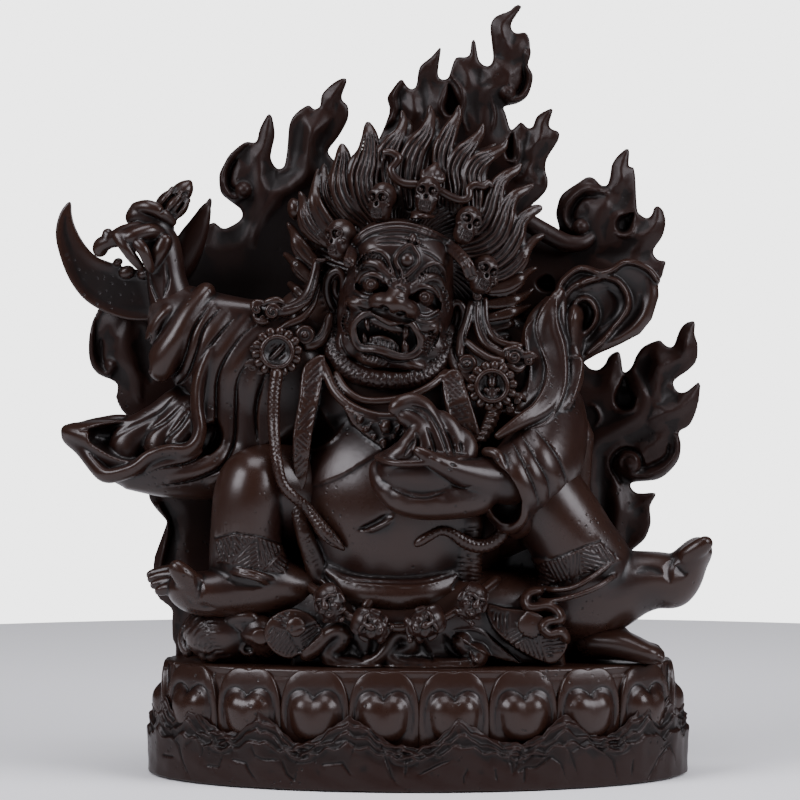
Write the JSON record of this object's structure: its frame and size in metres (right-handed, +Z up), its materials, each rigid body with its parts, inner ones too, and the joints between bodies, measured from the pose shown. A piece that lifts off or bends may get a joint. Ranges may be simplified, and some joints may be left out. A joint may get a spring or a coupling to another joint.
{
  "type": "mahakala figure",
  "caption": "Cast resin figure of a wrathful cloaked protector with flaying knife, skull cup and halo of flames, treading on a lying body, on a lotus over a rock base.",
  "frame": {"origin": "centre of the flat underside of the rock base", "axes": "+Z up, the figure faces -Y, +X to the right of someone who faces it"},
  "size_m": [0.1638, 0.0772, 0.1931],
  "materials": {
    "resin": "satin dark brown cold-cast resin with worn red-brown high places"
  },
  "bodies": {
    "root": {"mahakala_statue": "resin"}
  },
  "joints": []
}
